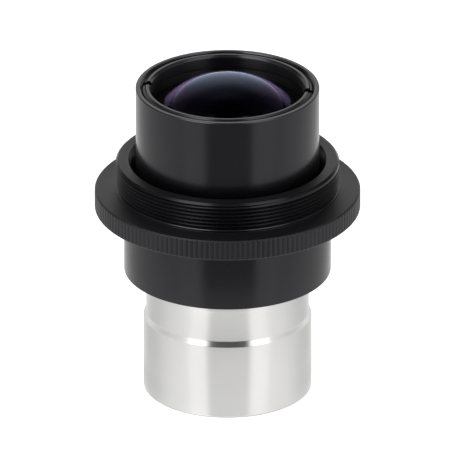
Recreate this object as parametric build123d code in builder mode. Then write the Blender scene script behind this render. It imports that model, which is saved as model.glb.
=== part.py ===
from build123d import *
from math import cos, radians, sin, sqrt
import os

os.makedirs("parts", exist_ok=True)

# Telescope eyepiece, 1.25 inch push fit, with a screw-on T-thread adapter ring.
# All sizes in millimetres. The optical axis is Z, the nose stands on z = 0 and the
# eye looks in from +Z. Outlines are half-sections of (radius, height) points.

# ---- Driving dimensions: standard interfaces ---------------------------------
NOSE_RADIUS = 31.7 / 2
FILTER_CREST = 13.93  # M28.5 x 0.6, inside thread
FILTER_ROOT = 14.25
FILTER_PITCH = 0.6
FILTER_TURNS = 7
T_CREST = 42.0 / 2  # M42 x 0.75, outside thread
T_ROOT = 20.54
T_PITCH = 0.75
T_TURNS = 6
BORE_CREST = 18.15  # M37 x 0.75, inside thread of the adapter ring
BORE_ROOT = 18.5
BORE_TURNS = 9
SPIGOT_CREST = 18.08  # its partner on the housing, free to turn in it
SPIGOT_ROOT = 17.75
SPIGOT_TURNS = 5

# ---- Driving dimensions: outer shape ------------------------------------------
NOSE_STRAIGHT_TOP = 14.6
NECK_BOTTOM = 15.55
NECK_RADIUS = 15.35
COLLAR_BOTTOM = 21.56
COLLAR_RADIUS = 15.55
HOUSING_RADIUS = 19.5
HOUSING_BOTTOM = 24.1
SHOULDER = 36.6  # top of the housing, seat of the adapter ring
FLANGE_RADIUS = 25.0
FLANGE_TOP = 40.6
BARREL_SEAT = 41.5  # top of the housing's spigot
ADAPTER_TOP = 46.4
BARREL_RADIUS = 17.25
RIM_TOP = 61.25
EDGE_BREAK = 0.3

# ---- Driving dimensions: inside -----------------------------------------------
FIT = 0.05  # radial play between a turned piece and the bore that holds it
NOSE_SPIGOT_RADIUS = 14.6
NOSE_TOP = 29.0
NOSE_BEVEL = 0.4
MOUTH_BEVEL = 0.47
BAFFLE_BORE = 13.6
BAFFLE_BOTTOM = 6.6
STOP_BORE = 13.25
STOP_BORE_BOTTOM = 16.8
STOP_SEAT = 21.0
LIGHT_BORE = 12.6
TAIL_RADIUS = 16.6
TAIL_BOTTOM = 33.5
SLEEVE_RADIUS = 15.15
SLEEVE_BOTTOM = 30.7
SLEEVE_FLANGE = 55.4
BEZEL_BOTTOM = 56.4
MOUTH_RADIUS = 16.05  # bore of the eye end, above the sleeve's flange
WELL_RADIUS = 14.7  # wall of the well round the dome
LENS_RADIUS = 12.4
LENS_BORE = 12.45
CLEAR_RADIUS = 11.5  # inside of the spacers between the lenses
CEMENT = 0.02
SEAL_OFFSET = 1.2  # from the end of a spigot or tail to the middle of its O-ring
SEAL_GROOVE = 1.0
SEAL_DEPTH = 0.74

# ---- Driving dimensions: glass ------------------------------------------------
DOME_APEX = 63.0
DOME_CURVE = 16.5
CEMENT_CURVE = 24.0
MIDDLE_CURVE = 50.0
FIELD_CURVE = 30.0
EYE_SEAM = 56.2  # height of each doublet's cemented surface at the lens edge
EYE_FLINT_BOTTOM = 51.2
MIDDLE_EDGE_TOP = 48.4
MIDDLE_EDGE_BOTTOM = 46.4
FIELD_EDGE_TOP = 38.6
FIELD_SEAM = 37.6
FIELD_FLINT_BOTTOM = 32.8

# ---- Driving dimensions: grip, slots and grooves ------------------------------
KNURL_COUNT = 156
KNURL_DEPTH = 0.1
SLOT_WIDTH = 1.7
SLOT_DEPTH = 1.1
SLOT_ANGLE = -6.5
BAFFLE_PITCH = 0.8
BAFFLE_DEPTH = 0.25
BAFFLE_TURNS = 12
BAFFLE_LAND = 0.2
SPANNER_WIDTH = 1.2
SPANNER_DEPTH = 0.65
ROOT_FLAT = 0.08
T_LAND = 0.28
FILTER_LAND = 0.16


def thread(crest, root, start, turns, pitch, land):
    """Points of ring grooves from height start upwards, with flat crests as wide as land."""
    points = []
    for turn in range(turns):
        low = start + turn * pitch
        middle = low + (land + pitch) / 2
        points.append((crest, low))
        points.append((crest, low + land))
        points.append((root, middle - ROOT_FLAT / 2))
        points.append((root, middle + ROOT_FLAT / 2))
    end = start + turns * pitch
    points.append((crest, end))
    points.append((crest, end + land))
    return points


def sag(curve, radius):
    """How far a spherical surface has fallen away from its apex at a radius."""
    return curve - sqrt(curve**2 - radius**2)


def spanner_slots(inner, outer, width):
    """Two opposite spanner notches across a ring, as a sketch in the current plane."""
    with PolarLocations((inner + outer) / 2, 2):
        Rectangle(outer - inner + 2 * FIT, width)


# ---- Nose: the push-fit tube with the filter thread in its mouth --------------
groove_bottom = HOUSING_BOTTOM + SEAL_OFFSET - SEAL_GROOVE / 2
groove_top = groove_bottom + SEAL_GROOVE
relief_bottom = MOUTH_BEVEL + FILTER_TURNS * FILTER_PITCH + FILTER_LAND + 0.2
relief_top = relief_bottom + 0.7
nose_outline = [
    (NOSE_RADIUS - NOSE_BEVEL, 0),
    (FILTER_CREST + MOUTH_BEVEL, 0),
    *thread(FILTER_CREST, FILTER_ROOT, MOUTH_BEVEL, FILTER_TURNS, FILTER_PITCH, FILTER_LAND),
    (FILTER_ROOT + 0.1, relief_bottom),
    (FILTER_ROOT + 0.1, relief_top),
    (BAFFLE_BORE, relief_top + 0.2),
    *thread(BAFFLE_BORE, BAFFLE_BORE + BAFFLE_DEPTH, BAFFLE_BOTTOM, BAFFLE_TURNS, BAFFLE_PITCH, BAFFLE_LAND),
    (STOP_BORE, STOP_BORE_BOTTOM),
    (STOP_BORE, STOP_SEAT),
    (LIGHT_BORE, STOP_SEAT),
    (LIGHT_BORE, NOSE_TOP),
    (NOSE_SPIGOT_RADIUS - EDGE_BREAK, NOSE_TOP),
    (NOSE_SPIGOT_RADIUS, NOSE_TOP - EDGE_BREAK),
    (NOSE_SPIGOT_RADIUS, groove_top),
    (NOSE_SPIGOT_RADIUS - SEAL_DEPTH, groove_top),
    (NOSE_SPIGOT_RADIUS - SEAL_DEPTH, groove_bottom),
    (NOSE_SPIGOT_RADIUS, groove_bottom),
    (NOSE_SPIGOT_RADIUS, HOUSING_BOTTOM),
    (COLLAR_RADIUS, HOUSING_BOTTOM),
    (COLLAR_RADIUS, COLLAR_BOTTOM),
    (NECK_RADIUS, COLLAR_BOTTOM),
    (NECK_RADIUS, NECK_BOTTOM),
    (NOSE_RADIUS, NOSE_STRAIGHT_TOP),
    (NOSE_RADIUS, NOSE_BEVEL),
]
with BuildPart() as nose_barrel:
    with BuildSketch(Plane.XZ):
        with BuildLine():
            Polyline(*nose_outline, close=True)
        make_face()
    revolve(axis=Axis.Z)
nose_barrel.part.label = "nose_barrel"
export_step(nose_barrel.part, "parts/nose_barrel.step")

# ---- O-ring on the nose's spigot, in its groove -------------------------------
with BuildPart() as nose_o_ring:
    with BuildSketch(Plane.XZ):
        with Locations((NOSE_SPIGOT_RADIUS - SEAL_DEPTH / 2 + FIT / 2, HOUSING_BOTTOM + SEAL_OFFSET)):
            Circle(SEAL_DEPTH / 2)
    revolve(axis=Axis.Z)
nose_o_ring.part.label = "nose_o_ring"
export_step(nose_o_ring.part, "parts/nose_o_ring.step")

# ---- Field stop: knife-edged diaphragm screwed into the nose from below -------
stop_bottom = STOP_SEAT - 1.5
stop_aperture = 11.0
stop_cone_radius = 12.3
knife_edge = 0.2
with BuildPart() as field_stop:
    with BuildSketch(Plane.XZ):
        with BuildLine():
            Polyline(
                (STOP_BORE - FIT, stop_bottom),
                (stop_cone_radius, stop_bottom),
                (stop_aperture, STOP_SEAT - knife_edge),
                (stop_aperture, STOP_SEAT),
                (STOP_BORE - FIT, STOP_SEAT),
                close=True,
            )
        make_face()
    revolve(axis=Axis.Z)
    with BuildSketch(Plane.XY.offset(stop_bottom)):
        spanner_slots(stop_cone_radius - 0.3, STOP_BORE, SPANNER_WIDTH)
    extrude(amount=SPANNER_DEPTH, mode=Mode.SUBTRACT)
field_stop.part.label = "field_stop"
export_step(field_stop.part, "parts/field_stop.step")

# ---- Lower housing: takes the nose below, the barrel above, the ring outside --
chamber_radius = SLEEVE_RADIUS + 0.45
chamber_bottom = SLEEVE_BOTTOM - 0.3
chamber_top = TAIL_BOTTOM - 0.2
web_radius = LIGHT_BORE + 0.7
tail_bore = TAIL_RADIUS + 2 * FIT
with BuildPart() as lower_housing:
    with BuildSketch(Plane.XZ):
        with BuildLine():
            Polyline(
                (NOSE_SPIGOT_RADIUS + FIT, HOUSING_BOTTOM),
                (HOUSING_RADIUS, HOUSING_BOTTOM),
                (HOUSING_RADIUS, SHOULDER),
                (SPIGOT_ROOT, SHOULDER),
                (SPIGOT_ROOT, SHOULDER + 0.4),
                *thread(SPIGOT_CREST, SPIGOT_ROOT, SHOULDER + 0.7, SPIGOT_TURNS, T_PITCH, T_LAND),
                (SPIGOT_ROOT, BARREL_SEAT),
                (tail_bore, BARREL_SEAT),
                (tail_bore, chamber_top),
                (chamber_radius, chamber_top),
                (chamber_radius, chamber_bottom),
                (web_radius, chamber_bottom),
                (web_radius, NOSE_TOP + 0.3),
                (NOSE_SPIGOT_RADIUS + FIT, NOSE_TOP + 0.3),
                close=True,
            )
        make_face()
    revolve(axis=Axis.Z)
    outer_edges = lower_housing.edges().filter_by(GeomType.CIRCLE).group_by(SortBy.RADIUS)[-1]
    chamfer(outer_edges, 0.12)
lower_housing.part.label = "lower_housing"
export_step(lower_housing.part, "parts/lower_housing.step")

# ---- Upper barrel: slim tube that carries the glass, open towards the eye -----
mouth_thread = 58.7
mouth_turns = 4
mouth_pitch = 0.5
mouth_depth = 0.25
mouth_land = 0.15
rim_bevel = 0.15
tail_groove_bottom = TAIL_BOTTOM + SEAL_OFFSET - SEAL_GROOVE / 2
tail_groove_top = tail_groove_bottom + SEAL_GROOVE
barrel_outline = [
    (TAIL_RADIUS - EDGE_BREAK, TAIL_BOTTOM),
    (TAIL_RADIUS, TAIL_BOTTOM + EDGE_BREAK),
    (TAIL_RADIUS, tail_groove_bottom),
    (TAIL_RADIUS - SEAL_DEPTH, tail_groove_bottom),
    (TAIL_RADIUS - SEAL_DEPTH, tail_groove_top),
    (TAIL_RADIUS, tail_groove_top),
    (TAIL_RADIUS, BARREL_SEAT - 0.6),
    (TAIL_RADIUS - 0.4, BARREL_SEAT - 0.6),
    (TAIL_RADIUS - 0.4, BARREL_SEAT),
    (BARREL_RADIUS, BARREL_SEAT),
    (BARREL_RADIUS, RIM_TOP - rim_bevel),
    (BARREL_RADIUS - rim_bevel, RIM_TOP),
    (MOUTH_RADIUS + mouth_depth + 0.1, RIM_TOP),
    *reversed(
        thread(MOUTH_RADIUS, MOUTH_RADIUS + mouth_depth, mouth_thread, mouth_turns, mouth_pitch, mouth_land)
    ),
    (MOUTH_RADIUS, SLEEVE_FLANGE),
    (SLEEVE_RADIUS + FIT, SLEEVE_FLANGE),
    (SLEEVE_RADIUS + FIT, TAIL_BOTTOM),
]
with BuildPart() as upper_barrel:
    with BuildSketch(Plane.XZ):
        with BuildLine():
            Polyline(*barrel_outline, close=True)
        make_face()
    revolve(axis=Axis.Z)
upper_barrel.part.label = "upper_barrel"
export_step(upper_barrel.part, "parts/upper_barrel.step")

# ---- O-ring between the barrel's tail and the housing -------------------------
with BuildPart() as barrel_o_ring:
    with BuildSketch(Plane.XZ):
        with Locations((TAIL_RADIUS - SEAL_DEPTH / 2 + FIT / 2, TAIL_BOTTOM + SEAL_OFFSET)):
            Circle(SEAL_DEPTH / 2)
    revolve(axis=Axis.Z)
barrel_o_ring.part.label = "barrel_o_ring"
export_step(barrel_o_ring.part, "parts/barrel_o_ring.step")

# ---- Lens sleeve: holds the whole stack of glass, hangs by its flange ---------
retainer_bore = LENS_BORE + 0.45
retainer_top = FIELD_FLINT_BOTTOM - 0.2
with BuildPart() as lens_sleeve:
    with BuildSketch(Plane.XZ):
        with BuildLine():
            Polyline(
                (retainer_bore, SLEEVE_BOTTOM),
                (SLEEVE_RADIUS, SLEEVE_BOTTOM),
                (SLEEVE_RADIUS, SLEEVE_FLANGE),
                (MOUTH_RADIUS - FIT, SLEEVE_FLANGE),
                (MOUTH_RADIUS - FIT, BEZEL_BOTTOM),
                (LENS_BORE, BEZEL_BOTTOM),
                (LENS_BORE, retainer_top + 0.1),
                (retainer_bore, retainer_top + 0.1),
                close=True,
            )
        make_face()
    revolve(axis=Axis.Z)
    bottom_rim = lens_sleeve.edges().filter_by(GeomType.CIRCLE).group_by(Axis.Z)[0]
    chamfer(bottom_rim, 0.2)
lens_sleeve.part.label = "lens_sleeve"
export_step(lens_sleeve.part, "parts/lens_sleeve.step")

# ---- Retaining ring and washer under the field lens ---------------------------
retainer_bottom = retainer_top - 1.6
with BuildPart() as field_retaining_ring:
    with BuildSketch(Plane.XY.offset(retainer_bottom)):
        Circle(retainer_bore - FIT)
        Circle(CLEAR_RADIUS, mode=Mode.SUBTRACT)
    extrude(amount=retainer_top - retainer_bottom)
    inner_edges = field_retaining_ring.edges().filter_by(GeomType.CIRCLE).group_by(SortBy.RADIUS)[0]
    chamfer(inner_edges, 0.3)
    with BuildSketch(Plane.XY.offset(retainer_bottom)):
        spanner_slots(CLEAR_RADIUS - 0.2, retainer_bore, SPANNER_WIDTH)
    extrude(amount=SPANNER_DEPTH, mode=Mode.SUBTRACT)
field_retaining_ring.part.label = "field_retaining_ring"
export_step(field_retaining_ring.part, "parts/field_retaining_ring.step")

with BuildPart() as field_washer:
    with BuildSketch(Plane.XY.offset(retainer_top)):
        Circle(LENS_RADIUS - FIT)
        Circle(CLEAR_RADIUS + 0.1, mode=Mode.SUBTRACT)
    extrude(amount=FIELD_FLINT_BOTTOM - retainer_top)
field_washer.part.label = "field_washer"
export_step(field_washer.part, "parts/field_washer.step")

# ---- Field doublet: a flat-backed flint cemented to a two-sided crown ---------
field_seam_low = FIELD_SEAM - sag(CEMENT_CURVE, LENS_RADIUS)
with BuildPart() as field_flint_lens:
    with BuildSketch(Plane.XZ):
        with BuildLine():
            Polyline(
                (0, field_seam_low - CEMENT),
                (0, FIELD_FLINT_BOTTOM),
                (LENS_RADIUS, FIELD_FLINT_BOTTOM),
                (LENS_RADIUS, FIELD_SEAM - CEMENT),
            )
            RadiusArc((LENS_RADIUS, FIELD_SEAM - CEMENT), (0, field_seam_low - CEMENT), CEMENT_CURVE)
        make_face()
    revolve(axis=Axis.Z)
field_flint_lens.part.label = "field_flint_lens"
export_step(field_flint_lens.part, "parts/field_flint_lens.step")

with BuildPart() as field_crown_lens:
    with BuildSketch(Plane.XZ):
        with BuildLine():
            field_apex = (0, FIELD_EDGE_TOP + sag(FIELD_CURVE, LENS_RADIUS))
            Line(field_apex, (0, field_seam_low))
            RadiusArc((0, field_seam_low), (LENS_RADIUS, FIELD_SEAM), -CEMENT_CURVE)
            Line((LENS_RADIUS, FIELD_SEAM), (LENS_RADIUS, FIELD_EDGE_TOP))
            RadiusArc((LENS_RADIUS, FIELD_EDGE_TOP), field_apex, -FIELD_CURVE)
        make_face()
    revolve(axis=Axis.Z)
field_crown_lens.part.label = "field_crown_lens"
export_step(field_crown_lens.part, "parts/field_crown_lens.step")

# ---- Middle lens, between its two spacers --------------------------------------
with BuildPart() as middle_lens:
    with BuildSketch(Plane.XZ):
        with BuildLine():
            middle_apex = (0, MIDDLE_EDGE_TOP + sag(MIDDLE_CURVE, LENS_RADIUS))
            middle_nadir = (0, MIDDLE_EDGE_BOTTOM - sag(MIDDLE_CURVE, LENS_RADIUS))
            Line(middle_apex, middle_nadir)
            RadiusArc(middle_nadir, (LENS_RADIUS, MIDDLE_EDGE_BOTTOM), -MIDDLE_CURVE)
            Line((LENS_RADIUS, MIDDLE_EDGE_BOTTOM), (LENS_RADIUS, MIDDLE_EDGE_TOP))
            RadiusArc((LENS_RADIUS, MIDDLE_EDGE_TOP), middle_apex, -MIDDLE_CURVE)
        make_face()
    revolve(axis=Axis.Z)
middle_lens.part.label = "middle_lens"
export_step(middle_lens.part, "parts/middle_lens.step")

field_rise = sag(FIELD_CURVE, LENS_RADIUS) - sag(FIELD_CURVE, CLEAR_RADIUS)
middle_rise = sag(MIDDLE_CURVE, LENS_RADIUS) - sag(MIDDLE_CURVE, CLEAR_RADIUS)
field_spacer_bottom = FIELD_EDGE_TOP + field_rise + CEMENT
field_spacer_top = MIDDLE_EDGE_BOTTOM - middle_rise - CEMENT
spacer_turns = 7
spacer_thread = field_spacer_bottom + 0.7
spacer_root = CLEAR_RADIUS + BAFFLE_DEPTH
spacer_outline = [
    (LENS_RADIUS, field_spacer_bottom),
    (LENS_RADIUS, field_spacer_top),
    (CLEAR_RADIUS, field_spacer_top),
    *reversed(thread(CLEAR_RADIUS, spacer_root, spacer_thread, spacer_turns, BAFFLE_PITCH, BAFFLE_LAND)),
    (CLEAR_RADIUS, field_spacer_bottom),
]
with BuildPart() as field_spacer:
    with BuildSketch(Plane.XZ):
        with BuildLine():
            Polyline(*spacer_outline, close=True)
        make_face()
    revolve(axis=Axis.Z)
field_spacer.part.label = "field_spacer"
export_step(field_spacer.part, "parts/field_spacer.step")

eye_spacer_bottom = MIDDLE_EDGE_TOP + middle_rise + CEMENT
with BuildPart() as eye_spacer:
    with BuildSketch(Plane.XY.offset(eye_spacer_bottom)):
        Circle(LENS_RADIUS)
        Circle(CLEAR_RADIUS, mode=Mode.SUBTRACT)
    extrude(amount=EYE_FLINT_BOTTOM - eye_spacer_bottom)
eye_spacer.part.label = "eye_spacer"
export_step(eye_spacer.part, "parts/eye_spacer.step")

# ---- Eye doublet: flint below, strongly domed crown towards the eye -----------
eye_seam_low = EYE_SEAM - sag(CEMENT_CURVE, LENS_RADIUS)
with BuildPart() as eye_flint_lens:
    with BuildSketch(Plane.XZ):
        with BuildLine():
            Polyline(
                (0, eye_seam_low - CEMENT),
                (0, EYE_FLINT_BOTTOM),
                (LENS_RADIUS, EYE_FLINT_BOTTOM),
                (LENS_RADIUS, EYE_SEAM - CEMENT),
            )
            RadiusArc((LENS_RADIUS, EYE_SEAM - CEMENT), (0, eye_seam_low - CEMENT), CEMENT_CURVE)
        make_face()
    revolve(axis=Axis.Z)
eye_flint_lens.part.label = "eye_flint_lens"
export_step(eye_flint_lens.part, "parts/eye_flint_lens.step")

dome_edge = DOME_APEX - sag(DOME_CURVE, LENS_RADIUS)
with BuildPart() as eye_crown_lens:
    with BuildSketch(Plane.XZ):
        with BuildLine():
            Line((0, DOME_APEX), (0, eye_seam_low))
            RadiusArc((0, eye_seam_low), (LENS_RADIUS, EYE_SEAM), -CEMENT_CURVE)
            Line((LENS_RADIUS, EYE_SEAM), (LENS_RADIUS, dome_edge))
            RadiusArc((LENS_RADIUS, dome_edge), (0, DOME_APEX), -DOME_CURVE)
        make_face()
    revolve(axis=Axis.Z)
eye_crown_lens.part.label = "eye_crown_lens"
export_step(eye_crown_lens.part, "parts/eye_crown_lens.step")

# ---- Bezel, washer and slotted ring that hold the eye lens in the mouth -------
bezel_top = 58.6
bezel_floor = 56.9
lip_radius = 11.78
lip_land = 0.12
lip_flare = 1.6
lip_height = DOME_APEX - sag(DOME_CURVE, lip_radius) + CEMENT
with BuildPart() as eye_lens_bezel:
    with BuildSketch(Plane.XZ):
        with BuildLine():
            Polyline(
                (LENS_BORE, BEZEL_BOTTOM),
                (MOUTH_RADIUS - FIT, BEZEL_BOTTOM),
                (MOUTH_RADIUS - FIT, bezel_top),
                (WELL_RADIUS, bezel_top),
                (WELL_RADIUS, bezel_floor),
                (lip_radius + lip_flare, bezel_floor),
                (lip_radius + lip_land, lip_height),
                (lip_radius, lip_height),
                (LENS_BORE, dome_edge + CEMENT),
                close=True,
            )
        make_face()
    revolve(axis=Axis.Z)
eye_lens_bezel.part.label = "eye_lens_bezel"
export_step(eye_lens_bezel.part, "parts/eye_lens_bezel.step")

washer_top = bezel_top + 0.2
with BuildPart() as retaining_washer:
    with BuildSketch(Plane.XY.offset(bezel_top)):
        Circle(MOUTH_RADIUS - 3 * FIT)
        Circle(WELL_RADIUS + FIT, mode=Mode.SUBTRACT)
    extrude(amount=washer_top - bezel_top)
retaining_washer.part.label = "retaining_washer"
export_step(retaining_washer.part, "parts/retaining_washer.step")

ring_outside = MOUTH_RADIUS - 2 * FIT
ring_bore = 14.4
ring_bevel_height = 0.45
crown_outside = 15.3
crown_inside = 14.8
ledge_outside = crown_outside + 0.2
ledge_drop = 0.3
slot_corner = 0.45
slot_direction = (cos(radians(SLOT_ANGLE)), sin(radians(SLOT_ANGLE)), 0)
with BuildPart() as eye_retaining_ring:
    with BuildSketch(Plane.XZ):
        with BuildLine():
            Polyline(
                (ring_bore, washer_top),
                (ring_outside, washer_top),
                (ring_outside, RIM_TOP - ring_bevel_height),
                (ledge_outside, RIM_TOP - ledge_drop),
                (crown_outside, RIM_TOP),
                (crown_inside, RIM_TOP),
                (ring_bore, RIM_TOP - ring_bevel_height),
                close=True,
            )
        make_face()
    revolve(axis=Axis.Z)
    with BuildSketch(Plane(origin=(0, 0, RIM_TOP), x_dir=(0, 0, 1), z_dir=slot_direction)):
        RectangleRounded(2 * SLOT_DEPTH, SLOT_WIDTH, slot_corner)
    extrude(amount=BARREL_RADIUS, both=True, mode=Mode.SUBTRACT)
eye_retaining_ring.part.label = "eye_retaining_ring"
export_step(eye_retaining_ring.part, "parts/eye_retaining_ring.step")

# ---- Adapter ring: knurled flange, T-thread outside, housing thread inside ----
grip_bottom = SHOULDER + 0.8
grip_top = grip_bottom + 1.0
grip_floor = BORE_ROOT + 0.4
bore_start = grip_top + 0.55
shoulder_top = FLANGE_TOP + 0.4
shoulder_bevel = 0.14
thread_start = FLANGE_TOP + 0.6
top_bevel = 0.4
adapter_outline = [
    (BORE_ROOT, SHOULDER),
    (FLANGE_RADIUS - EDGE_BREAK, SHOULDER),
    (FLANGE_RADIUS, SHOULDER + EDGE_BREAK),
    (FLANGE_RADIUS, FLANGE_TOP - EDGE_BREAK),
    (FLANGE_RADIUS - EDGE_BREAK, FLANGE_TOP),
    (T_CREST, FLANGE_TOP),
    (T_CREST, shoulder_top - shoulder_bevel),
    (T_CREST - shoulder_bevel, shoulder_top),
    (T_ROOT, shoulder_top),
    (T_ROOT, shoulder_top + 0.04),
    *thread(T_CREST, T_ROOT, thread_start, T_TURNS, T_PITCH, T_LAND),
    (T_CREST - top_bevel, ADAPTER_TOP),
    (BORE_ROOT + 0.1, ADAPTER_TOP),
    *reversed(thread(BORE_CREST, BORE_ROOT, bore_start, BORE_TURNS, T_PITCH, T_LAND)),
    (BORE_CREST, grip_top),
    (grip_floor, grip_top),
    (grip_floor, grip_bottom),
    (BORE_CREST, grip_bottom),
    (BORE_CREST, SHOULDER + 0.35),
]
knurl_reach = KNURL_DEPTH + 0.2
with BuildPart() as adapter_ring:
    with BuildSketch(Plane.XZ):
        with BuildLine():
            Polyline(*adapter_outline, close=True)
        make_face()
    revolve(axis=Axis.Z)
    with BuildSketch(Plane.XY.offset(SHOULDER)):
        with PolarLocations(FLANGE_RADIUS - KNURL_DEPTH, KNURL_COUNT, start_angle=180 / KNURL_COUNT):
            Polygon((0, 0), (knurl_reach, -knurl_reach), (knurl_reach, knurl_reach), align=None)
    extrude(amount=FLANGE_TOP - SHOULDER, mode=Mode.SUBTRACT)
adapter_ring.part.label = "adapter_ring"
export_step(adapter_ring.part, "parts/adapter_ring.step")

# ---- Grip ring: the nylon ring that rides in the adapter ring's groove --------
with BuildPart() as adapter_grip_ring:
    with BuildSketch(Plane.XY.offset(grip_bottom + FIT)):
        Circle(grip_floor - FIT)
        Circle(BORE_CREST, mode=Mode.SUBTRACT)
    extrude(amount=grip_top - grip_bottom - 2 * FIT)
adapter_grip_ring.part.label = "adapter_grip_ring"
export_step(adapter_grip_ring.part, "parts/adapter_grip_ring.step")
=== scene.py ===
from math import asin, cos, pi, radians, sin, sqrt

import bmesh
import bpy
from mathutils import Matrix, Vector


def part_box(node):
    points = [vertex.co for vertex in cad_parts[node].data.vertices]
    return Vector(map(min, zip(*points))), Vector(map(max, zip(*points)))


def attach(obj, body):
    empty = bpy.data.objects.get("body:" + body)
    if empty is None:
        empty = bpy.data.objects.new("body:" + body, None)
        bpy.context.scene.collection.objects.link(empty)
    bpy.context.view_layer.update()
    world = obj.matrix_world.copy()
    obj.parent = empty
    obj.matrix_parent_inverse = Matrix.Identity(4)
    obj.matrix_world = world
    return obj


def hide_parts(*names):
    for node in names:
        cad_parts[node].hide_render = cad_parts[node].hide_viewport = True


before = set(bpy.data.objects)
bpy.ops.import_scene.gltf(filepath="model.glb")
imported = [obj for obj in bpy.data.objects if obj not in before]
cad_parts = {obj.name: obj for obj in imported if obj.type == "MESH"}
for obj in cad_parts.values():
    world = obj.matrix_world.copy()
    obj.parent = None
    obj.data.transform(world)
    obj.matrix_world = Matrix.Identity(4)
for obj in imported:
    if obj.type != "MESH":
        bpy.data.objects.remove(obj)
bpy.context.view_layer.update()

MM = 0.001


def levels(node):
    """Outer radius, bottom and top of a CAD node, in millimetres."""
    low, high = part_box(node)
    return high.x / MM, low.z / MM, high.z / MM


# ---- Sizes, in millimetres, taken from the frame ------------------------------------
NOSE_R, NOSE_BOTTOM, NOSE_TOP = levels("nose_barrel")
HOUSING_R, HOUSING_BOTTOM, SPIGOT_TOP = levels("lower_housing")
FLANGE_R, SHOULDER, ADAPTER_TOP = levels("adapter_ring")
BARREL_R, TAIL_BOTTOM, RIM_TOP = levels("upper_barrel")
_, RING_BOTTOM, RING_TOP = levels("eye_retaining_ring")
BEZEL_R, BEZEL_BOTTOM, BEZEL_TOP = levels("eye_lens_bezel")
LENS_R, _, DOME_APEX = levels("eye_crown_lens")
_, FLINT_BOTTOM, _ = levels("eye_flint_lens")
STOP_R, STOP_BOTTOM, STOP_TOP = levels("field_stop")

# ---- Details inside the frame's pieces, in millimetres, as in the CAD ---------------
FILTER_CREST, FILTER_ROOT, FILTER_PITCH = 13.93, 14.25, 0.6
T_CREST, T_ROOT, T_PITCH = 21.0, 20.54, 0.75
BORE_CREST, BORE_ROOT = 18.15, 18.5
SPIGOT_CREST, SPIGOT_ROOT = 18.08, 17.75
MOUTH_CREST, MOUTH_ROOT, MOUTH_PITCH = 16.05, 16.3, 0.5
NECK_R, NECK_BOTTOM, STRAIGHT_TOP = 15.35, 15.55, 14.6
COLLAR_R, COLLAR_BOTTOM = 15.55, 21.56
FLANGE_TOP = 40.6
SEAL_DEPTH = 0.74
DOME_CURVE, LIP_R, WELL_R = 16.5, 11.78, 14.7
KNURL_COUNT, KNURL_DEPTH = 156, 0.10
SLOT_WIDTH, SLOT_DEPTH, SLOT_CORNER, SLOT_ANGLE = 1.7, 1.1, 0.45, -6.5

# One pitch of a thread as (share of the pitch, share of the depth): narrow flat crest,
# straight flanks, narrow flat root.
THREAD_FORM = ((0.0, 0.0), (0.05, 0.0), (0.52, 1.0), (0.54, 1.0))
# One tooth of the knurl as (share of the tooth, share of the depth).
KNURL_FORM = ((0.0, 0.0), (0.22, 0.05), (0.37, 0.55), (0.5, 1.0), (0.63, 0.55), (0.78, 0.05))

# ---- Meshing --------------------------------------------------------------------------
SEGMENTS = 2 * KNURL_COUNT  # columns round a turned piece, two to each tooth of the knurl
EDGE = 0.05  # bevel of a plain turned edge, in millimetres
CORNER_STEPS = 3  # straight pieces in the short curve that stands for a bevel
BEVEL_SHARE = 0.45  # most of a side that one bevel may take
WELD, SLIVER = 1e-7, 1e-8  # metres: points closer than these are joined or dropped
SHARP = radians(35)  # an edge between faces that meet at more than this stays sharp


# ---- Turning: meshes spun from outlines -----------------------------------------------
def soften(outline, closed=True):
    """The outline with each corner that has a third value, its bevel, drawn as a short curve."""
    points = []
    count = len(outline)
    for i, corner in enumerate(outline):
        here = Vector(corner[:2])
        bevel = corner[2] if len(corner) > 2 else 0
        if bevel == 0 or (not closed and i in (0, count - 1)):
            points.append(tuple(here))
            continue
        back = Vector(outline[i - 1][:2]) - here
        ahead = Vector(outline[(i + 1) % count][:2]) - here
        start = here + back.normalized() * min(bevel, back.length * BEVEL_SHARE)
        end = here + ahead.normalized() * min(bevel, ahead.length * BEVEL_SHARE)
        for step in range(CORNER_STEPS + 1):
            t = step / CORNER_STEPS
            points.append(tuple(start * (1 - t) ** 2 + here * 2 * t * (1 - t) + end * t**2))
    return points


def helix(turn, crest, root, low, high, pitch, lead, to_crest=False):
    """A screw thread from low to high, seen at a share of one turn. It fades out over lead: at its
    low end to the root, and at its high end to the root or the crest."""
    points = [(root, low)]
    laps = int((high - low) / pitch) + 2
    for lap in range(-1, laps):
        for phase, depth in THREAD_FORM:
            z = low + (lap + phase + turn) * pitch
            z = min(max(z, low), high)
            rise = min(1 - depth, (z - low) / lead)
            if to_crest:
                rise = max(rise, 1 - (high - z) / lead)
            else:
                rise = min(rise, (high - z) / lead)
            points.append((root + (crest - root) * rise, z))
    points.append((crest if to_crest else root, high))
    return points


def rings(outline_at, columns, turns=None):
    """Vertices and quads of an outline carried round Z. outline_at gives it at a share of one turn,
    and turns gives the columns' shares where they aren't evenly spaced."""
    vertices, faces = [], []
    for column in range(columns + 1):
        turn = column / columns if turns is None else turns[column]
        outline = outline_at(turn)
        angle = 2 * pi * turn
        vertices += [(r * MM * cos(angle), r * MM * sin(angle), z * MM) for r, z in outline]
    rows = len(vertices) // (columns + 1)
    for column in range(columns):
        for row in range(rows - 1):
            a = column * rows + row
            faces.append((a, a + rows, a + rows + 1, a + 1))
    return vertices, faces


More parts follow.
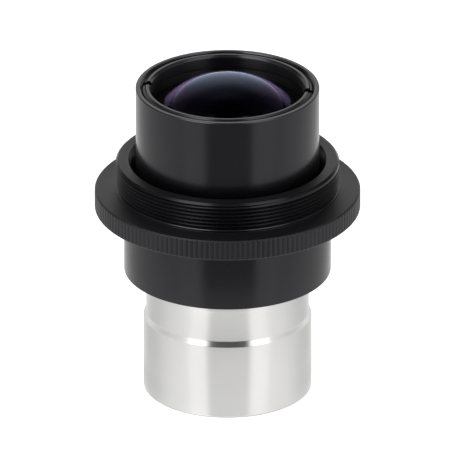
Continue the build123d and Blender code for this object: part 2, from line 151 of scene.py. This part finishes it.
def finish_mesh(name, vertices, faces):
    """One piece from vertices and faces: welded, facing outwards, smooth but for its sharp edges."""
    mesh = bpy.data.meshes.new(name)
    mesh.from_pydata(vertices, [], faces)
    work = bmesh.new()
    work.from_mesh(mesh)
    bmesh.ops.remove_doubles(work, verts=work.verts, dist=WELD)
    bmesh.ops.dissolve_degenerate(work, edges=work.edges, dist=SLIVER)
    bmesh.ops.recalc_face_normals(work, faces=work.faces)
    work.to_mesh(mesh)
    work.free()
    mesh.shade_smooth()
    mesh.set_sharp_from_angle(angle=SHARP)
    piece = bpy.data.objects.new(name, mesh)
    bpy.context.scene.collection.objects.link(piece)
    return piece


def turned(name, outline_at):
    """A turned piece from a closed outline: a list of points, or a function of the share of a turn."""
    section = outline_at if callable(outline_at) else (lambda turn: outline_at)

    def closed(turn):
        points = section(turn)
        return [*points, points[0]]

    return finish_mesh(name, *rings(closed, SEGMENTS))


def dress(piece, node, body, material):
    """Puts a piece in its CAD node's place, on its body, with its material."""
    piece.data.materials.append(material)
    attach(piece, body)
    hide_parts(node)


def paint(piece, material, chosen):
    """Another finish on the faces whose radius, height and upward slant are chosen."""
    piece.data.materials.append(material)
    index = len(piece.data.materials) - 1
    for face in piece.data.polygons:
        side = Vector((face.center.x, face.center.y)).length / MM
        if chosen(side, face.center.z / MM, face.normal.z):
            face.material_index = index


def wall_at(radius):
    """Chooses, for paint, the upright faces within a twentieth of a millimetre of a radius."""
    return lambda r, z, up: abs(up) < 0.1 and abs(r - radius) < 0.05


def dome_arc(curve, apex, radius, steps):
    """Points of a spherical surface from its rim at a radius up to its apex on the axis."""
    widest = asin(radius / curve)
    arc = [widest * (1 - step / steps) for step in range(steps + 1)]
    return [(curve * sin(a), apex - curve + curve * cos(a)) for a in arc]


# ---- Nodes ------------------------------------------------------------------------------
class Nodes:
    """A node tree, and short ways to add nodes to it."""

    def __init__(self, tree):
        self.tree = tree

    def node(self, kind, **settings):
        made = self.tree.nodes.new(kind)
        for key, value in settings.items():
            setattr(made, key, value)
        return made

    def fill(self, socket, value):
        """Feeds a socket from another node's output, or with a plain value."""
        if isinstance(value, bpy.types.NodeSocket):
            self.tree.links.new(value, socket)
        else:
            socket.default_value = value

    def ramp(self, source, low, high, start=0.35, end=0.65):
        """A colour ramp between two colours over part of the source's range."""
        made = self.node("ShaderNodeValToRGB")
        made.color_ramp.elements[0].position = start
        made.color_ramp.elements[1].position = end
        for element, colour in zip(made.color_ramp.elements, (low, high)):
            element.color = (*colour, 1)
        self.fill(made.inputs["Fac"], source)
        return made.outputs["Color"]

    def range(self, source, low, high, start=0.0, end=1.0, smooth=False):
        """A value that goes from low to high while the source goes from start to end."""
        made = self.node("ShaderNodeMapRange", interpolation_type="SMOOTHSTEP" if smooth else "LINEAR")
        made.inputs["From Min"].default_value = start
        made.inputs["From Max"].default_value = end
        made.inputs["To Min"].default_value = low
        made.inputs["To Max"].default_value = high
        self.fill(made.inputs["Value"], source)
        return made.outputs["Result"]

    def math(self, operation, first, second):
        made = self.node("ShaderNodeMath", operation=operation)
        self.fill(made.inputs[0], first)
        self.fill(made.inputs[1], second)
        return made.outputs["Value"]

    def blend(self, factor, first, second):
        made = self.node("ShaderNodeMix")
        for socket, value in ((0, factor), (2, first), (3, second)):
            self.fill(made.inputs[socket], value)
        return made.outputs[0]

    def vector(self, operation, first, second=(0, 0, 0)):
        made = self.node("ShaderNodeVectorMath", operation=operation)
        self.fill(made.inputs[0], first)
        self.fill(made.inputs[1], second)
        return made.outputs

    def axes(self, vector):
        made = self.node("ShaderNodeSeparateXYZ")
        self.fill(made.inputs["Vector"], vector)
        return made.outputs

    def radius(self, place):
        """Distance of a place from the Z axis."""
        flat = self.vector("MULTIPLY", place, (1, 1, 0))["Vector"]
        return self.vector("LENGTH", flat)["Value"]


# ---- Materials ------------------------------------------------------------------------
class Shader(Nodes):
    """A new material with one Principled shader."""

    def __init__(self, name):
        self.material = bpy.data.materials.new(name)
        self.material.use_nodes = True
        super().__init__(self.material.node_tree)
        self.bsdf = self.tree.nodes["Principled BSDF"]
        self.place = self.node("ShaderNodeTexCoord").outputs["Object"]

    def put(self, **values):
        """Feeds the shader's inputs, named with _ for a space, from sockets or plain values."""
        for key, value in values.items():
            self.fill(self.bsdf.inputs[key.replace("_", " ")], value)

    def noise(self, scale, detail=3.0, roughness=0.55, place=None):
        texture = self.node("ShaderNodeTexNoise")
        texture.inputs["Scale"].default_value = scale
        texture.inputs["Detail"].default_value = detail
        texture.inputs["Roughness"].default_value = roughness
        self.fill(texture.inputs["Vector"], self.place if place is None else place)
        return texture.outputs["Fac"]

    def bump(self, height, strength, distance):
        made = self.node("ShaderNodeBump")
        made.inputs["Strength"].default_value = strength
        made.inputs["Distance"].default_value = distance
        self.fill(made.inputs["Height"], height)
        self.put(Normal=made.outputs["Normal"])

    def turned_grain(self, amount):
        """Reflections drawn out across the fine circular tool marks of a lathe."""
        tangent = self.node("ShaderNodeTangent", direction_type="RADIAL", axis="Z")
        self.put(Tangent=tangent.outputs["Tangent"], Anisotropic=amount, Anisotropic_Rotation=0.25)

    def lathe_lines(self, pitch):
        """Height of the tool marks: lines of uneven depth that run round the piece."""
        section = self.node("ShaderNodeCombineXYZ")
        self.fill(section.inputs["X"], self.radius(self.place))
        self.fill(section.inputs["Z"], self.axes(self.place)["Z"])
        return self.noise(1 / (pitch * MM), detail=2.0, roughness=0.5, place=section.outputs["Vector"])


def black_anodised(name, rough=0.21, grain=0.6, facing=0.25, ior=1.4):
    """Satin black anodised aluminium, turned on a lathe; facing is added to the roughness of faces
    that lie flat, and grain is the strength of the turning marks."""
    s = Shader(name)
    cloud = s.noise(90.0, detail=4.0)
    fine = s.range(s.noise(2200.0, detail=2.0), rough - 0.02, rough + 0.02, start=0.3, end=0.7)
    upward = s.axes(s.node("ShaderNodeNewGeometry").outputs["Normal"])["Z"]
    flat = s.math("MULTIPLY", s.math("POWER", upward, 16.0), facing)
    s.put(
        Base_Color=s.ramp(cloud, (0.0021, 0.0019, 0.0024), (0.0033, 0.0030, 0.0037)),
        Roughness=s.math("ADD", fine, flat),
        IOR=ior,
        Specular_Tint=(0.95, 0.93, 1.0, 1),
    )
    s.turned_grain(grain)
    s.bump(s.lathe_lines(pitch=0.09), strength=0.12, distance=0.01 * MM)
    return s.material


def bright_nose(name):
    """Satin turned metal, bright plated, with a faint handling haze."""
    s = Shader(name)
    cloud = s.noise(60.0, detail=4.0)
    lines = s.lathe_lines(pitch=0.12)
    s.put(
        Base_Color=s.ramp(cloud, (0.60, 0.595, 0.59), (0.63, 0.625, 0.62)),
        Roughness=s.range(lines, 0.19, 0.22, start=0.3, end=0.7),
        Metallic=1.0,
    )
    s.turned_grain(0.75)
    s.bump(lines, strength=0.06, distance=0.01 * MM)
    return s.material


def coated_glass(name):
    """Optical glass with the faintest dust. Its coat reflects blue in the middle of a lens and violet
    towards the edge, and a painted sheen, a pale diffuse layer that takes the place of some of the glass's
    transmission, stands in for the coating's reflection where the dome is seen at a slant."""
    s = Shader(name)
    radius = s.radius(s.place)
    facing = s.node("ShaderNodeLayerWeight")
    facing.inputs["Blend"].default_value = 0.5
    slant = facing.outputs["Facing"]
    across = s.range(radius, 0.0, 1.0, start=4.5 * MM, end=9.5 * MM)

    # The painted sheen starts where the slant and the distance from the axis, at 49.5 to the metre, add up
    # to enough, which is where the dome would mirror the ring round it, and it thins out again at the dome's
    # foot.
    sum_of_both = s.math("ADD", slant, s.math("MULTIPLY", radius, 49.5))
    strength = s.range(slant, 0.0, 0.70, start=0.50, end=0.84)
    spread = s.range(sum_of_both, 0.0, 1.0, start=1.06, end=1.16)
    foot = s.range(radius, 1.0, 0.5, start=9.0 * MM, end=11.7 * MM)
    # Painted sheen: this share of the glass turns from clear to a pale diffuse layer, which stands in for
    # the coating's reflection.
    painted_sheen = s.math("MULTIPLY", strength, s.math("MULTIPLY", spread, foot))
    s.put(
        # The base colour is the colour of the painted sheen, and it also tints the light that passes through
        # the glass.
        Base_Color=s.ramp(s.noise(40.0), (0.82, 0.84, 0.76), (0.86, 0.88, 0.80)),
        Roughness=s.range(s.noise(1500.0, detail=4.0), 0.0, 0.02, start=0.62, end=0.8),
        IOR=1.5,
        Specular_Tint=(0.02, 0.03, 0.05, 1),
        Transmission_Weight=s.math("SUBTRACT", 1.0, painted_sheen),
        Coat_Weight=1.0,
        Coat_IOR=1.1,
        Coat_Roughness=0.03,
        Coat_Tint=s.ramp(across, (0.66, 0.76, 0.99), (0.73, 0.63, 0.92)),
    )
    return s.material


def soft_black(name, tint, rough, scale, ior=1.5):
    """Moulded black rubber, nylon or matt paint with a fine grain."""
    s = Shader(name)
    grain = s.noise(scale, detail=4.0)
    s.put(
        Base_Color=s.ramp(grain, tuple(c * 0.7 for c in tint), tint),
        Roughness=s.range(grain, rough - 0.08, rough + 0.08),
        IOR=ior,
    )
    s.bump(grain, strength=0.3, distance=0.02 * MM)
    return s.material


anodised = black_anodised("black_anodised")
knurl_black = black_anodised("black_anodised_knurl", rough=0.45, grain=0.0, facing=0.0)
cut_black = black_anodised("black_anodised_cut", rough=0.17, facing=0.0, ior=1.5)
thread_black = black_anodised("black_anodised_thread", ior=1.3)
wall_black = black_anodised("black_anodised_wall", rough=0.36, grain=1.0, facing=0.0)
inner_black = black_anodised("black_anodised_inside", rough=0.45, grain=0.5)
nose_metal = bright_nose("nose_metal")
glass = coated_glass("coated_glass")
trap_black = soft_black("light_trap_black", tint=(0.0015, 0.0014, 0.0018), rough=0.55, scale=700.0, ior=1.25)
rubber = soft_black("seal_rubber", tint=(0.03, 0.03, 0.03), rough=0.6, scale=900.0)
edge_paint = soft_black("lens_edge_paint", tint=(0.004, 0.004, 0.004), rough=0.7, scale=800.0)
nylon = soft_black("black_nylon", tint=(0.05, 0.05, 0.05), rough=0.5, scale=600.0)

# ---- Nose: push-fit tube ------------------------------------------------------------
spigot_r, light_bore = 14.6, 12.6
seal_low, seal_high = HOUSING_BOTTOM + 0.7, HOUSING_BOTTOM + 1.7
filter_low, filter_high, relief_r = NOSE_BOTTOM + 0.4, 5.0, FILTER_ROOT + 0.1
baffle_bore, baffle_root, baffle_low, baffle_high, baffle_pitch = 13.6, 13.85, 6.4, 16.5, 0.8
stop_bore, stop_bore_bottom = 13.25, 16.8

nose_outside = soften([
    (light_bore, NOSE_TOP, 0.1),
    (spigot_r - 0.15, NOSE_TOP, 0.3),
    (spigot_r, seal_high, EDGE),
    (spigot_r - SEAL_DEPTH, seal_high, 0.1),
    (spigot_r - SEAL_DEPTH, seal_low, 0.1),
    (spigot_r, seal_low, EDGE),
    (spigot_r, HOUSING_BOTTOM),
    (COLLAR_R, HOUSING_BOTTOM, EDGE),
    (COLLAR_R, COLLAR_BOTTOM, 0.14),
    (NECK_R, COLLAR_BOTTOM, EDGE),
    (NECK_R, NECK_BOTTOM, 0.12),
    (NOSE_R, STRAIGHT_TOP, 0.12),
    (NOSE_R, NOSE_BOTTOM, 0.38),
    (FILTER_ROOT + 0.25, NOSE_BOTTOM, 0.12),
    (FILTER_ROOT, filter_low),
], closed=False)
nose_inside = soften([
    (relief_r, filter_high + 0.1, EDGE),
    (relief_r, filter_high + 0.8, EDGE),
    (baffle_bore, baffle_low - 0.3, EDGE),
    (baffle_bore, baffle_low),
], closed=False)
nose_throat = soften([
    (stop_bore, stop_bore_bottom, 0.08),
    (stop_bore, STOP_TOP, EDGE),
    (light_bore, STOP_TOP, 0.08),
], closed=False)


def nose_section(turn):
    """The nose's outline, with its two inside threads, at a share of a turn."""
    return [
        *nose_outside,
        *helix(turn, FILTER_CREST, FILTER_ROOT, filter_low, filter_high, FILTER_PITCH, lead=0.35),
        *nose_inside,
        *helix(turn, baffle_bore, baffle_root, baffle_low, baffle_high, baffle_pitch, lead=0.3),
        *nose_throat,
    ]


nose = turned("nose_barrel_detail", nose_section)
dress(nose, "nose_barrel", "eyepiece", nose_metal)

# ---- Lower housing --------------------------------------------------------------------
tail_bore, chamber_r, web_r, nose_bore = 16.7, 15.6, 13.3, 14.65
chamber_low, chamber_high, web_low = 30.4, 33.3, 29.3
spigot_low, spigot_high = SHOULDER + 0.4, SPIGOT_TOP - 0.1
housing_shell = soften([
    (SPIGOT_ROOT, SPIGOT_TOP, EDGE),
    (tail_bore, SPIGOT_TOP, 0.1),
    (tail_bore, chamber_high, EDGE),
    (chamber_r, chamber_high, EDGE),
    (chamber_r, chamber_low, EDGE),
    (web_r, chamber_low, EDGE),
    (web_r, web_low, EDGE),
    (nose_bore, web_low, EDGE),
    (nose_bore, HOUSING_BOTTOM, EDGE),
    (HOUSING_R, HOUSING_BOTTOM, 0.12),
    (HOUSING_R, SHOULDER, 0.12),
    (SPIGOT_ROOT, SHOULDER, EDGE),
    (SPIGOT_ROOT, spigot_low),
], closed=False)


def housing_section(turn):
    """The housing's outline, with the spigot's thread, at a share of a turn."""
    thread = helix(turn, SPIGOT_CREST, SPIGOT_ROOT, spigot_low, spigot_high, T_PITCH, lead=0.35)
    return [*housing_shell, *thread]


housing = turned("lower_housing_detail", housing_section)
dress(housing, "lower_housing", "eyepiece", anodised)

# ---- Upper barrel ---------------------------------------------------------------------
tail_r, sleeve_bore, flange_seat = 16.6, 15.2, 55.4
barrel_seal_low, barrel_seal_high = TAIL_BOTTOM + 0.7, TAIL_BOTTOM + 1.7
mouth_low, mouth_high, rim_bevel = 58.4, RIM_TOP - 0.2, 0.15
barrel_shell = soften([
    (MOUTH_CREST, mouth_low),
    (MOUTH_CREST, flange_seat, EDGE),
    (sleeve_bore, flange_seat, EDGE),
    (sleeve_bore, TAIL_BOTTOM, 0.1),
    (tail_r, TAIL_BOTTOM, 0.3),
    (tail_r, barrel_seal_low, EDGE),
    (tail_r - SEAL_DEPTH, barrel_seal_low, 0.1),
    (tail_r - SEAL_DEPTH, barrel_seal_high, 0.1),
    (tail_r, barrel_seal_high, EDGE),
    (tail_r, SPIGOT_TOP, EDGE),
    (BARREL_R, SPIGOT_TOP, 0.08),
    (BARREL_R, RIM_TOP - rim_bevel, 0.04),
    (BARREL_R - rim_bevel, RIM_TOP, 0.04),
    (MOUTH_ROOT + 0.15, RIM_TOP, EDGE),
    (MOUTH_ROOT, mouth_high),
], closed=False)


def barrel_section(turn):
    """The barrel's outline, with the thread in its mouth, at a share of a turn."""
    thread = helix(turn, MOUTH_CREST, MOUTH_ROOT, mouth_low, mouth_high, MOUTH_PITCH, lead=0.3)
    return [*barrel_shell, *reversed(thread)]


barrel = turned("upper_barrel_detail", barrel_section)
dress(barrel, "upper_barrel", "eyepiece", anodised)
paint(barrel, cut_black, lambda r, z, up: z > mouth_high)


# ---- Adapter ring: knurled flange, screw threads outside and inside -------------------
def knurl_radius(tooth):
    """Outer radius of the knurl at a share of one tooth."""
    ends = [*KNURL_FORM, (1.0, 0.0)]
    for (start, depth), (end, next_depth) in zip(ends, ends[1:]):
        if start <= tooth <= end:
            part = (tooth - start) / (end - start)
            return FLANGE_R - KNURL_DEPTH * (depth + (next_depth - depth) * part)
    return FLANGE_R


grip_low, grip_high, grip_root = SHOULDER + 0.8, SHOULDER + 1.8, 18.9
shoulder_top, shoulder_bevel = FLANGE_TOP + 0.45, 0.14
thread_low, top_bevel = FLANGE_TOP + 0.5, 0.4
bore_low, bore_high = grip_high + 0.4, ADAPTER_TOP - 0.2
rim_r = FLANGE_R - 0.9  # ring where the knurled edge meets the plain body
flange_bevel, knurl_zone = 0.3, 0.6

ring_foot = soften([
    (rim_r, FLANGE_TOP),
    (T_CREST, FLANGE_TOP, 0.03),
    (T_CREST, shoulder_top - shoulder_bevel),
    (T_CREST - shoulder_bevel, shoulder_top),
    (T_ROOT, shoulder_top + 0.05),
], closed=False)
ring_crown = soften([
    (T_CREST, ADAPTER_TOP - top_bevel),
    (T_CREST - top_bevel, ADAPTER_TOP, 0.03),
    (BORE_ROOT + 0.15, ADAPTER_TOP, 0.1),
    (BORE_ROOT, bore_high),
], closed=False)
ring_root = soften([
    (BORE_CREST, grip_high, EDGE),
    (grip_root, grip_high, EDGE),
    (grip_root, grip_low, EDGE),
    (BORE_CREST, grip_low, EDGE),
    (BORE_CREST, SHOULDER + 0.35, EDGE),
    (BORE_ROOT, SHOULDER, EDGE),
    (rim_r, SHOULDER),
], closed=False)
knurl_edge = soften([
    (rim_r, SHOULDER),
    (FLANGE_R - flange_bevel, SHOULDER, 0.06),
    (FLANGE_R, SHOULDER + flange_bevel, 0.06),
    (FLANGE_R, (SHOULDER + FLANGE_TOP) / 2),
    (FLANGE_R, FLANGE_TOP - flange_bevel, 0.06),
    (FLANGE_R - flange_bevel, FLANGE_TOP, 0.06),
    (rim_r, FLANGE_TOP),
], closed=False)


def ring_section(turn):
    """The ring's outline without its knurled edge, with both threads, at a share of a turn."""
    thread_high = ADAPTER_TOP - top_bevel
    bore = helix(turn, BORE_CREST, BORE_ROOT, bore_low, bore_high, T_PITCH, lead=0.3)
    return [
        *ring_foot,
        *helix(turn, T_CREST, T_ROOT, thread_low, thread_high, T_PITCH, lead=0.25, to_crest=True),
        *ring_crown,
        *reversed(bore),
        *ring_root,
    ]


def knurl_section(turn):
    """The flange's outer edge, cut back to the knurl, at a share of a turn."""
    reach = knurl_radius(turn * KNURL_COUNT % 1.0)
    return [(min(r, reach), z) for r, z in knurl_edge]


def adapter_mesh():
    """The ring's body and its finer knurled edge, joined on the two faces of the flange."""
    vertices, faces = rings(ring_section, SEGMENTS)
    rows = len(vertices) // (SEGMENTS + 1)
    columns = KNURL_COUNT * len(KNURL_FORM)
    turns = [(tooth + phase) / KNURL_COUNT for tooth in range(KNURL_COUNT) for phase, _ in KNURL_FORM]
    edge_vertices, edge_faces = rings(knurl_section, columns, [*turns, 1.0])
    edge_rows = len(edge_vertices) // (columns + 1)
    base = len(vertices)
    faces += [tuple(base + corner for corner in face) for face in edge_faces]
    share = columns // SEGMENTS
    for column in range(SEGMENTS):
        for body_row, edge_row in ((0, edge_rows - 1), (rows - 1, 0)):
            fine = [base + (column * share + k) * edge_rows + edge_row for k in range(share + 1)]
            coarse = [(column + 1) * rows + body_row, column * rows + body_row]
            faces.append((*fine, *coarse))
    return finish_mesh("adapter_ring_detail", vertices + edge_vertices, faces)


adapter = adapter_mesh()
dress(adapter, "adapter_ring", "adapter", anodised)
paint(adapter, knurl_black, lambda r, z, up: r > FLANGE_R - knurl_zone and abs(up) < 0.9)
paint(adapter, thread_black, lambda r, z, up: T_ROOT - 0.1 < r <= T_CREST and z > thread_low)

# ---- Slotted retaining ring in the mouth -----------------------------------------------
ring_bore, ring_crown_r, ring_step_r, ring_outer = 14.4, 14.8, 15.3, 15.95
ring_fall = 0.45  # how far the ring's slopes fall from its crown, inwards and outwards
ring_outline = soften([
    (ring_bore, RING_BOTTOM, 0.04),
    (ring_outer, RING_BOTTOM, 0.04),
    (ring_outer, RING_TOP - ring_fall, 0.12),
    (ring_step_r + 0.2, RING_TOP - 0.3, EDGE),
    (ring_step_r, RING_TOP, 0.06),
    (ring_crown_r, RING_TOP, 0.06),
    (ring_bore, RING_TOP - ring_fall, 0.06),
])


def slot_floor(offset):
    """Height of the slot's floor at a distance from its middle line; it curves up at the sides."""
    side = abs(offset) - (SLOT_WIDTH / 2 - SLOT_CORNER)
    floor = RING_TOP - SLOT_DEPTH
    if side <= 0:
        return floor
    return floor + SLOT_CORNER - sqrt(max(SLOT_CORNER**2 - side**2, 0))


def retaining_ring_mesh():
    """The ring with its two slots: across a slot the columns run parallel, elsewhere radially."""
    half, margin = SLOT_WIDTH / 2, 0.35
    corner_steps, plain_steps = 6, 120
    inside = [half - SLOT_CORNER * (1 - sin(pi / 2 * k / corner_steps)) for k in range(corner_steps + 1)]
    inside = [*(-x for x in reversed(inside)), *inside]
    columns = []
    for side in (0, 1):
        middle = radians(SLOT_ANGLE) + side * pi
        columns.append((middle, -half, False))
        columns += [(middle, offset, True) for offset in inside]
        columns.append((middle, half, False))
        edge = asin((half + margin) / WELL_R)
        for k in range(plain_steps + 1):
            columns.append((middle + edge + (pi - 2 * edge) * k / plain_steps, None, False))
    vertices = []
    for middle, offset, cut in columns:
        for r, z in ring_outline:
            angle = middle if offset is None else middle + asin(offset / r)
            height = min(z, slot_floor(offset)) if cut else z
            vertices.append((r * MM * cos(angle), r * MM * sin(angle), height * MM))
    rows, count = len(ring_outline), len(columns)
    faces = []
    for column in range(count):
        ahead = (column + 1) % count
        for row in range(rows):
            above = (row + 1) % rows
            here, there = column * rows, ahead * rows
            faces.append((here + row, there + row, there + above, here + above))
    return finish_mesh("eye_retaining_ring_detail", vertices, faces)


retaining = retaining_ring_mesh()
dress(retaining, "eye_retaining_ring", "eyepiece", anodised)
paint(retaining, cut_black, lambda r, z, up: z > RING_TOP - 0.1)
paint(retaining, wall_black, wall_at(ring_bore))

# ---- Bezel and eye lens ------------------------------------------------------------------
bezel_floor, lens_bore, cone_foot = 56.9, 12.45, LIP_R + 1.6
dome_foot = DOME_APEX - DOME_CURVE + sqrt(DOME_CURVE**2 - LENS_R**2)
lip_top = DOME_APEX - DOME_CURVE + sqrt(DOME_CURVE**2 - LIP_R**2)
bezel = turned("eye_lens_bezel_detail", soften([
    (lens_bore, BEZEL_BOTTOM, 0.04),
    (BEZEL_R, BEZEL_BOTTOM, 0.04),
    (BEZEL_R, BEZEL_TOP, 0.04),
    (WELL_R, BEZEL_TOP, 0.04),
    (WELL_R, bezel_floor),
    (cone_foot, bezel_floor, 0.1),
    (LIP_R + 0.12, lip_top, EDGE),
    (LIP_R, lip_top, 0.03),
    (lens_bore, dome_foot + 0.02),
]))
dress(bezel, "eye_lens_bezel", "eyepiece", trap_black)
paint(bezel, wall_black, wall_at(WELL_R))

# The doublet is one closed piece, because a cement gap as thin as the CAD's would mirror the light.
dome = dome_arc(DOME_CURVE, DOME_APEX, LENS_R, steps=64)
doublet = turned("eye_lens_doublet", [(0, FLINT_BOTTOM), (LENS_R, FLINT_BOTTOM), *dome])
dress(doublet, "eye_crown_lens", "eyepiece", glass)
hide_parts("eye_flint_lens")
paint(doublet, edge_paint, wall_at(LENS_R))

# ---- Field stop ----------------------------------------------------------------------------
stop_aperture, stop_cone, stop_edge = 11.0, 12.3, 0.2
stop = turned("field_stop_detail", soften([
    (STOP_R, STOP_BOTTOM, EDGE),
    (STOP_R, STOP_TOP, EDGE),
    (stop_aperture, STOP_TOP, 0.02),
    (stop_aperture, STOP_TOP - stop_edge, 0.02),
    (stop_cone, STOP_BOTTOM, 0.06),
]))
dress(stop, "field_stop", "eyepiece", inner_black)

# ---- CAD pieces that stay ----------------------------------------------------------------
kept = {
    inner_black: ["lens_sleeve", "field_retaining_ring", "field_spacer", "eye_spacer"],
    glass: ["middle_lens", "field_crown_lens", "field_flint_lens"],
    rubber: ["nose_o_ring", "barrel_o_ring"],
    nylon: ["retaining_washer", "field_washer", "adapter_grip_ring"],
}
for material, names in kept.items():
    for name in names:
        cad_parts[name].data.materials.clear()
        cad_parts[name].data.materials.append(material)

# ---- Studio --------------------------------------------------------------------------------
LIGHT_TURN = radians(1.75)  # how far the studio's front is turned from the camera's side
GAP_EDGE = 28.0  # degrees from the front to the edge of the dim gap between the soft boxes

# Brightness round the studio, as stops of (degrees from the front, brightness): a dim gap at the
# front, a soft box on either side of it, side walls and a back wall. The horizon's stops hold up to
# 10 degrees above the floor, the low walls' from 19 to 33, the high walls' from 56 to 66, and the
# ceiling starts at 78.
LOW_BOXES = ((0, 0.08), (25.5, 0.08), (33.5, 2.1), (53, 2.1), (61, 1.15))
HORIZON = (*LOW_BOXES, (90, 0.95), (139, 0.95), (150, 0.5), (180, 1.0))
LOW_WALLS = (*LOW_BOXES, (90, 0.9), (120, 0.15), (139, 0.2), (160, 0.66), (180, 1.0))
HIGH_BOXES = ((0, 0.6), (25.5, 0.6), (33.5, 4.5), (74, 4.5), (82, 0.4))
HIGH_WALLS = (*HIGH_BOXES, (120, 0.1), (139, 0.1), (180, 0.38))
CEILING = 0.05


def compass(nodes, vector):
    """Cosine of the angle between a direction, seen from above, and the front of the studio."""
    turn = nodes.node("ShaderNodeVectorRotate", rotation_type="Z_AXIS")
    turn.inputs["Angle"].default_value = -LIGHT_TURN
    nodes.fill(turn.inputs["Vector"], vector)
    flat = nodes.vector("MULTIPLY", turn.outputs["Vector"], (1, 1, 0))["Vector"]
    unit = nodes.vector("NORMALIZE", flat)["Vector"]
    return nodes.vector("DOT_PRODUCT", unit, (0, -1, 0))["Value"]


def around(nodes, facing, stops):
    """Brightness round the studio from its stops; facing is the compass value."""
    brightest = max(value for _, value in stops)
    made = nodes.node("ShaderNodeValToRGB")
    elements = made.color_ramp.elements
    while len(elements) < len(stops):
        elements.new(0.5)
    for element, (degrees, value) in zip(elements, sorted(stops, reverse=True)):
        element.position = (cos(radians(degrees)) + 1) / 2
        element.color = (*[value / brightest] * 3, 1)
    nodes.fill(made.inputs["Fac"], nodes.range(facing, 0.0, 1.0, start=-1.0))
    return nodes.math("MULTIPLY", made.outputs["Color"], brightest)


def paper():
    """Pale paper that glows, except right under the nose, where the glow would shine into its bore."""
    s = Shader("floor_paper")
    s.put(
        Base_Color=s.ramp(s.noise(60.0), (0.60, 0.60, 0.60), (0.62, 0.62, 0.62)),
        Roughness=0.9,
        Specular_IOR_Level=0.0,
        Emission_Color=(1, 1, 1, 1),
        Emission_Strength=s.range(s.radius(s.place), 0.0, 0.80, start=15.4 * MM, end=16.0 * MM),
    )
    return s.material


def card_light():
    """The card's glow: a little dimmer behind the object, and much dimmer in front of it from 7 cm
    out, where the metal mirrors the dim gap between the soft boxes."""
    s = Shader("card_light")
    away = s.radius(s.place)
    turn = compass(s, s.place)
    side_start, side_end = -0.42, 0.62  # cosines of the angle from the front
    foot = s.range(turn, 0.55, 0.95, side_start, side_end)
    near = s.range(turn, 0.74, 0.95, side_start, side_end)
    inner = s.blend(s.range(away, 0.0, 1.0, start=17.5 * MM, end=23 * MM), foot, near)
    sides = s.blend(s.range(away, 0.0, 1.0, start=62 * MM, end=90 * MM), inner, 0.90)
    centre = s.range(away, 0.95, 0.42, start=62 * MM, end=75 * MM)
    gap_start, gap_end = cos(radians(GAP_EDGE + 3)), cos(radians(GAP_EDGE - 5))
    front = s.range(turn, 0.0, 1.0, gap_start, gap_end)

    lamp = s.node("ShaderNodeEmission")
    s.fill(lamp.inputs["Strength"], s.blend(front, sides, centre))
    polish = s.node("ShaderNodeBsdfGlossy")
    polish.inputs["Color"].default_value = (0.2, 0.2, 0.2, 1)
    polish.inputs["Roughness"].default_value = 0.08
    both = s.node("ShaderNodeAddShader")
    s.fill(both.inputs[0], lamp.outputs["Emission"])
    s.fill(both.inputs[1], polish.outputs["BSDF"])
    s.fill(s.tree.nodes["Material Output"].inputs["Surface"], both.outputs["Shader"])
    return s.material


def studio_world():
    """Light from all round: soft boxes and walls that change with height, and a dim ceiling."""
    world = bpy.data.worlds.new("studio")
    world.use_nodes = True
    nodes = Nodes(world.node_tree)
    direction = nodes.node("ShaderNodeTexCoord").outputs["Generated"]
    axes = nodes.axes(direction)
    facing = compass(nodes, direction)

    def climb(start, end):
        """Goes from 0 to 1 between two elevations, in degrees."""
        return nodes.range(axes["Z"], 0.0, 1.0, sin(radians(start)), sin(radians(end)), smooth=True)

    left_to_right = nodes.range(axes["X"], 1.1, 0.6, start=-0.3, end=0.3)
    high = nodes.math("MULTIPLY", around(nodes, facing, HIGH_WALLS), left_to_right)
    low = nodes.blend(climb(10, 19), around(nodes, facing, HORIZON), around(nodes, facing, LOW_WALLS))
    walls = nodes.blend(climb(33, 56), low, high)
    background = nodes.tree.nodes["Background"]
    background.inputs["Color"].default_value = (1, 1, 1, 1)
    nodes.fill(background.inputs["Strength"], nodes.blend(climb(66, 78), walls, CEILING))
    return world


def stage_piece(name, vertices, faces, material):
    """A mesh that belongs to the studio, not to the object."""
    mesh = bpy.data.meshes.new(name)
    mesh.from_pydata(vertices, [], faces)
    mesh.materials.append(material)
    piece = bpy.data.objects.new(name, mesh)
    bpy.context.scene.collection.objects.link(piece)
    return piece


floor_reach = 4.0
corners = [(x * floor_reach, y * floor_reach, 0) for x, y in ((-1, -1), (1, -1), (1, 1), (-1, 1))]
stage_piece("studio_floor", corners, [(0, 1, 2, 3)], paper())

# A ring-shaped card on the floor round the nose, in metres, which shows only in the reflections.
card_inner, card_outer, card_height, steps = 0.0159, 0.6, 0.0001, 72
card_ring = [(cos(2 * pi * k / steps), sin(2 * pi * k / steps)) for k in range(steps)]
card_points = [(c * r, s * r, card_height) for r in (card_inner, card_outer) for c, s in card_ring]
card_faces = [(k, (k + 1) % steps, steps + (k + 1) % steps, steps + k) for k in range(steps)]
card = stage_piece("reflection_card", card_points, card_faces, card_light())
card.visible_camera = False
card.visible_diffuse = False
card.visible_shadow = False

bpy.context.scene.world = studio_world()

# ---- Camera ----------------------------------------------------------------------------------
ELEVATION = radians(24.4)
DISTANCE = 2.75
PIVOT = 0.030  # height of the point on the axis that elevation and distance are measured from
AIM = Vector((0, 0, 0.0322))
FIELD = 0.08571  # width of the picture at the object
eye = Vector((0, -DISTANCE * cos(ELEVATION), PIVOT + DISTANCE * sin(ELEVATION)))
camera_data = bpy.data.cameras.new("camera")
camera_data.sensor_width = 36.0
camera_data.lens = camera_data.sensor_width * DISTANCE / FIELD
camera_data.clip_end = 20.0
camera = bpy.data.objects.new("camera", camera_data)
camera.location = eye
camera.rotation_euler = (AIM - eye).to_track_quat("-Z", "Y").to_euler()
bpy.context.scene.collection.objects.link(camera)
bpy.context.scene.camera = camera
bpy.context.scene.view_settings.view_transform = "Standard"
